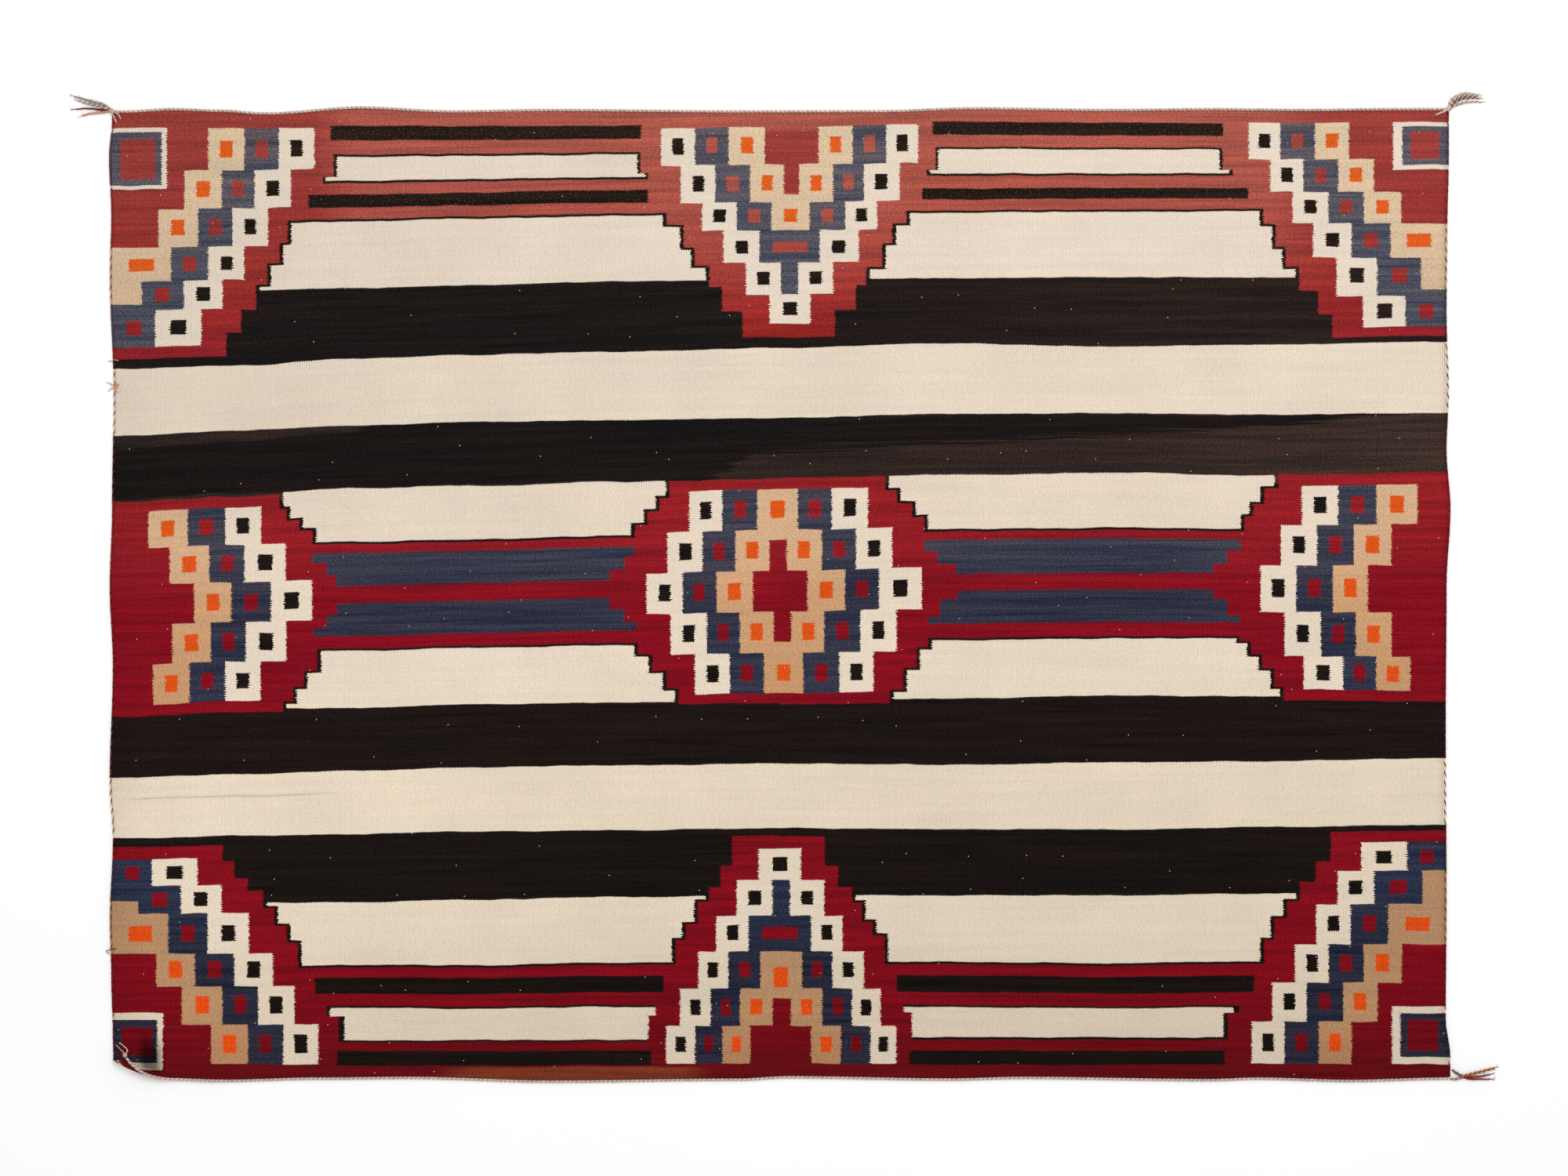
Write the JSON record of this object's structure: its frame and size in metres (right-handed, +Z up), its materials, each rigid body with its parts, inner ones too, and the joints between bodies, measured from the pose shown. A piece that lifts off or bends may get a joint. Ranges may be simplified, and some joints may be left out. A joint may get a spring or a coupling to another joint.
{
  "type": "navajo rug",
  "caption": "Flat-woven wool rug, wider than long, lying face up, with twined edge cords, small corner tassels and one corner curled over.",
  "frame": {"origin": "On the floor under the middle of the cloth, on its flat underside.", "axes": "+X along the wide side (the wefts) to the right of the picture, +Y along the short side (the warps) towards the picture's top, +Z up out of the floor."},
  "size_m": [2.0226, 1.408, 0.0183],
  "materials": {
    "rug_field": "weft-faced wool tapestry, ribbed, matte",
    "end_cord": "twined grey, cream and pink wool cord, matte",
    "side_cord": "twined dark red wool cord, matte",
    "tassel": "loose ends of plied wool cord, cream, red and brown, matte"
  },
  "bodies": {
    "root": {"rug_field": "rug_field", "end_cord_top": "end_cord", "end_cord_bottom": "end_cord", "side_cord_left": "side_cord", "side_cord_right": "side_cord", "tassel_top_left": "tassel", "tassel_top_right": "tassel", "tassel_bottom_left": "tassel", "tassel_bottom_right": "tassel"}
  },
  "joints": []
}
